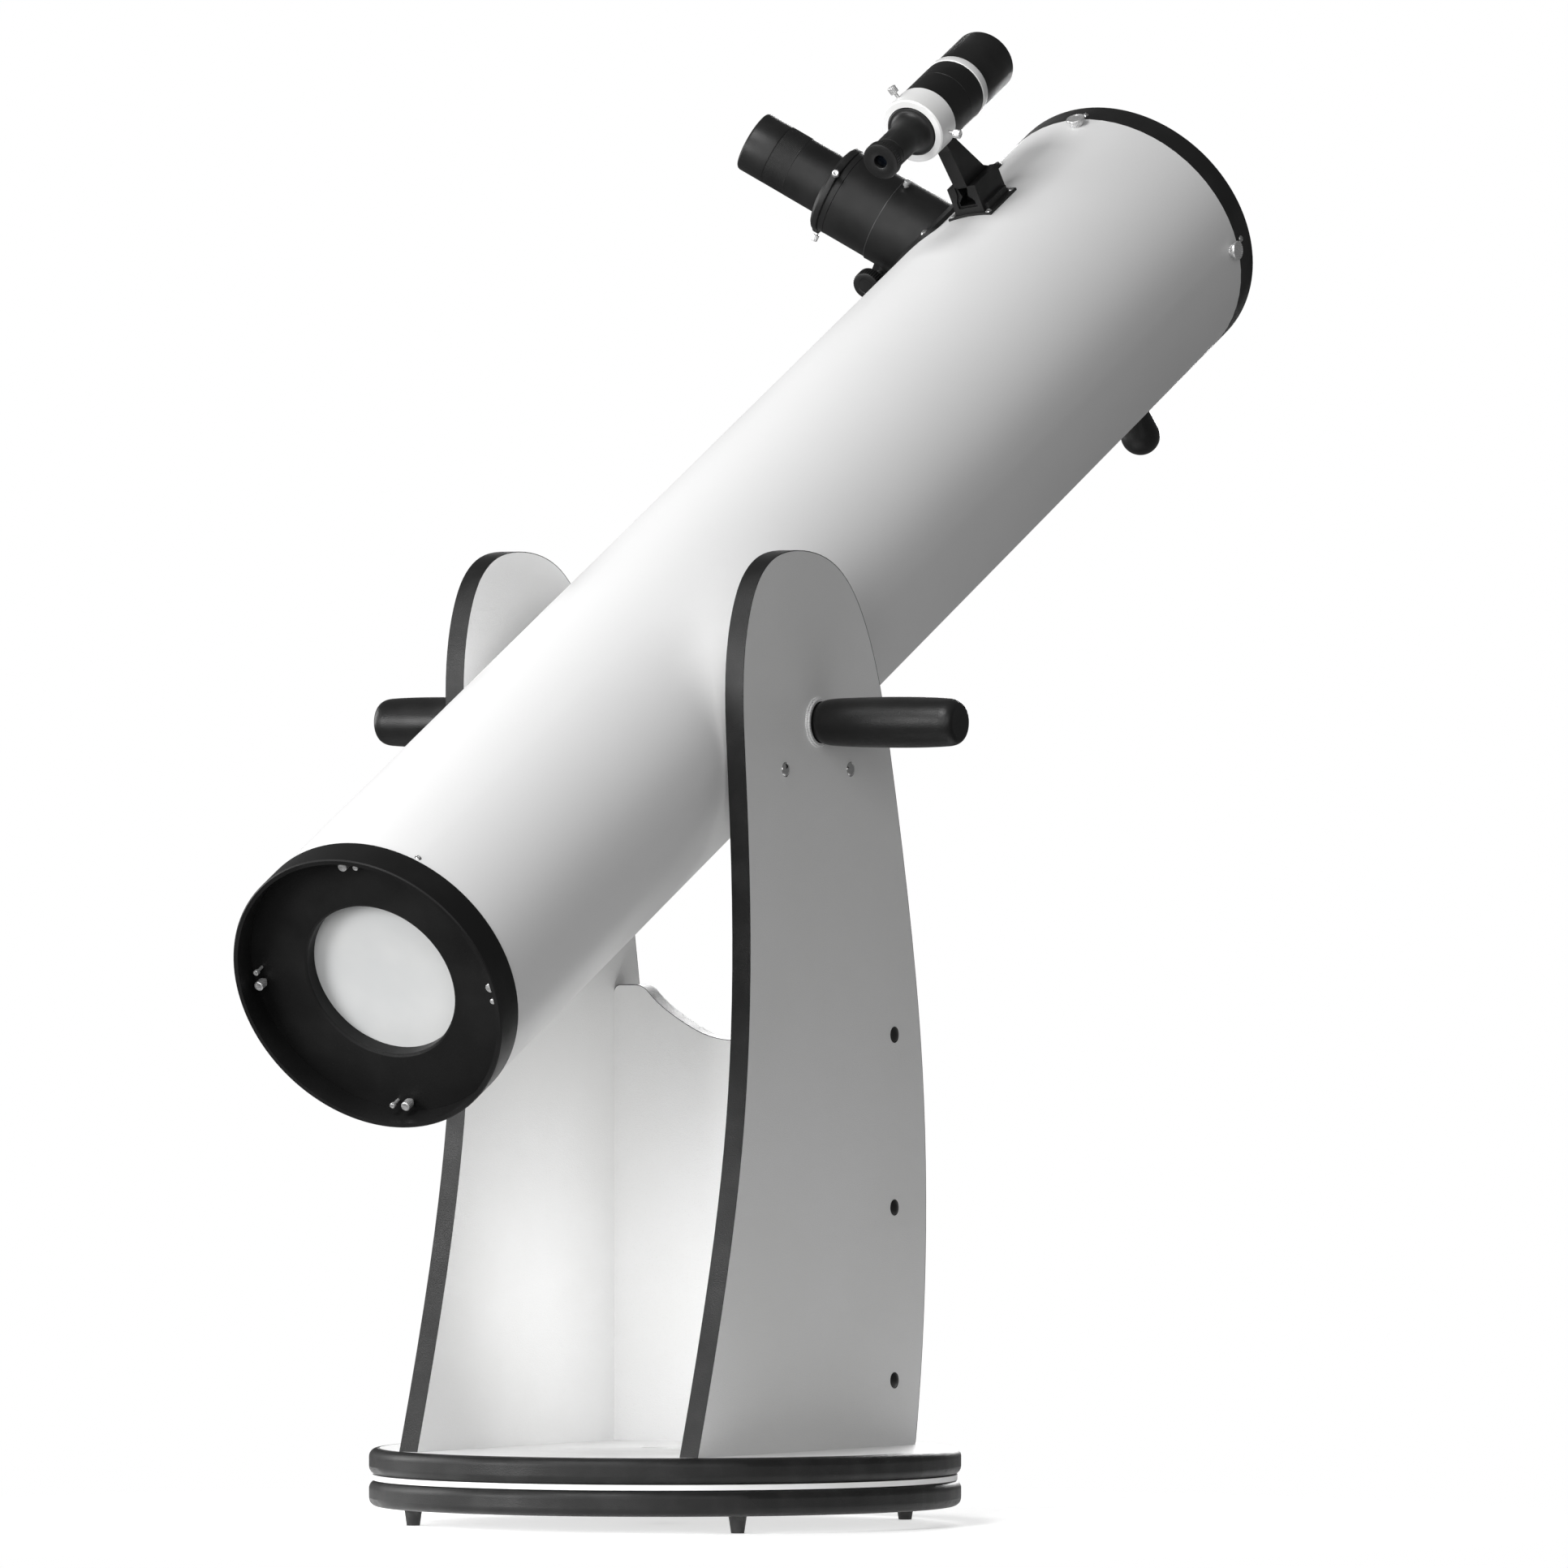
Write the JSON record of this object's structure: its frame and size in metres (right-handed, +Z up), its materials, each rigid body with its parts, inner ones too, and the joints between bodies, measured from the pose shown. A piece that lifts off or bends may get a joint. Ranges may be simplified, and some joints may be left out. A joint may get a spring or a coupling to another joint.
{
  "type": "dobsonian telescope",
  "caption": "Reflector telescope on a turntable rocker mount: long tube with a mirror cell, side focuser with eyepiece and finder, raised on two tall side panels with grip handles.",
  "frame": {"origin": "middle of the overall footprint at floor level, with the azimuth axis 151 mm behind it at X = 0", "axes": "+Z up, +Y the way the tube points, +X to the right of someone looking along the tube"},
  "size_m": [0.5382, 1.3348, 1.2172],
  "materials": {
    "black_laminate": "black textured plastic edging",
    "board_white": "white melamine facing on particle board",
    "glide_white": "low-friction plastic",
    "foot_rubber": "hard black rubber",
    "steel": "zinc-plated steel",
    "chrome": "bright chrome",
    "black_plastic": "satin black plastic",
    "nylon": "nylon",
    "tube_paint": "glossy light enamel on rolled steel",
    "black_paint": "satin black paint on cast aluminium",
    "black_anodised": "black anodised aluminium",
    "white_plastic": "white plastic",
    "mirror": "aluminised glass, ground grey at the back",
    "lens": "coated glass"
  },
  "bodies": {
    "ground": {"ground_board": "board_white", "ground_moulding": "black_laminate", "ground_feet": "foot_rubber", "foot_screws": "steel", "glide_ring": "glide_white", "pivot_bolt": "steel"},
    "rocker": {"rocker_board": "board_white", "rocker_moulding": "black_laminate", "bushes": "nylon", "board_screws": "steel", "right_panel": "board_white", "left_panel": "board_white", "front_board": "board_white", "edge_banding": "black_laminate", "screw_caps": "black_plastic", "bearing_rollers": "nylon", "roller_bolts": "chrome", "handle_washers": "chrome"},
    "tube": {"main_tube": "tube_paint", "front_ring": "black_paint", "cell_ring": "black_paint", "tube_screws": "steel", "guide_knob": "black_plastic", "side_bearings": "black_plastic", "cell_plate": "black_paint", "collimation_screws": "chrome", "lock_screws": "chrome", "collimation_springs": "steel", "spider_vanes": "black_paint", "spider_screws": "chrome", "secondary_screws": "steel", "focuser_base": "black_paint", "focuser_body": "black_anodised", "finder_shoe": "black_paint"},
    "right_handle": {"right_grip": "black_plastic", "right_handle_stud": "steel"},
    "left_handle": {"left_grip": "black_plastic", "left_handle_stud": "steel"},
    "mirror_cell": {"mirror_carrier": "black_paint", "primary_mirror": "mirror", "mirror_clips": "black_plastic"},
    "secondary": {"secondary_mirror": "mirror", "secondary_holder": "black_plastic"},
    "drawtube": {"drawtube": "chrome", "drawtube_collar": "black_anodised", "collar_screws": "chrome"},
    "focus_shaft": {"pinion_shaft": "steel", "focus_knobs": "black_plastic"},
    "eyepiece": {"eyepiece_barrel": "black_anodised", "eyepiece_lenses": "lens"},
    "finder": {"finder_stalk": "black_paint", "finder_ring": "white_plastic", "finder_screws": "chrome", "finder_body": "black_anodised", "finder_band": "white_plastic", "finder_dew_shield": "black_anodised", "finder_lenses": "lens"},
    "finder_eyecup": {"finder_eyepiece": "black_plastic"},
    "focus_lock": {"focus_lock_screw": "chrome"},
    "shoe_lock": {"shoe_lock_screw": "chrome"}
  },
  "joints": [
    {"name": "azimuth", "type": "hinge", "parent": "ground", "child": "rocker", "pos_m": [0, -0.151, 0.0397], "axis": [0, 0, 1], "continuous": true},
    {"name": "altitude", "type": "hinge", "parent": "rocker", "child": "tube", "pos_m": [0, -0.1445, 0.6442], "axis": [1, 0, 0], "range_deg": [-26.8, 63.1]},
    {"name": "right_handle_turn", "type": "hinge", "parent": "tube", "child": "right_handle", "pos_m": [0.15, -0.1445, 0.6442], "axis": [1, 0, 0], "continuous": true},
    {"name": "left_handle_turn", "type": "hinge", "parent": "tube", "child": "left_handle", "pos_m": [-0.15, -0.1445, 0.6442], "axis": [-1, 0, 0], "continuous": true},
    {"name": "focus_travel", "type": "slide", "parent": "tube", "child": "drawtube", "axis": [-0.8296, -0.2524, 0.498], "range_m": [0, 0.04]},
    {"name": "focus_knob_turn", "type": "hinge", "parent": "tube", "child": "focus_shaft", "pos_m": [-0.13663, 0.45734, 1.02945], "axis": [0, 0.892, 0.4521], "range_deg": [-600, 0]},
    {"name": "eyepiece_pull", "type": "slide", "parent": "drawtube", "child": "eyepiece", "axis": [-0.8296, -0.2524, 0.498], "range_m": [0, 0.03]},
    {"name": "finder_slide", "type": "slide", "parent": "tube", "child": "finder", "axis": [0, -0.892, -0.4521], "range_m": [0, 0.045]},
    {"name": "finder_focus", "type": "slide", "parent": "finder", "child": "finder_eyecup", "axis": [0, -0.892, -0.4521], "range_m": [0, 0.006]},
    {"name": "mirror_collimation", "type": "slide", "parent": "tube", "child": "mirror_cell", "axis": [0, 0.892, 0.4521], "range_m": [0, 0.002]},
    {"name": "secondary_turn", "type": "hinge", "parent": "tube", "child": "secondary", "pos_m": [0, 0.54128, 1.01648], "axis": [0, 0.892, 0.4521], "range_deg": [-10, 10]},
    {"name": "focus_lock_turn", "type": "hinge", "parent": "tube", "child": "focus_lock", "pos_m": [-0.10619, 0.42677, 1.08977], "axis": [0.5583, -0.3751, 0.74], "continuous": true},
    {"name": "shoe_lock_turn", "type": "hinge", "parent": "tube", "child": "shoe_lock", "pos_m": [-0.0318, 0.39206, 1.08414], "axis": [-0.9903, 0.0629, -0.1241], "continuous": true}
  ],
  "couplings": [
    {"joint": "focus_knob_turn", "follows": "focus_travel", "rad_per_m": -250}
  ]
}
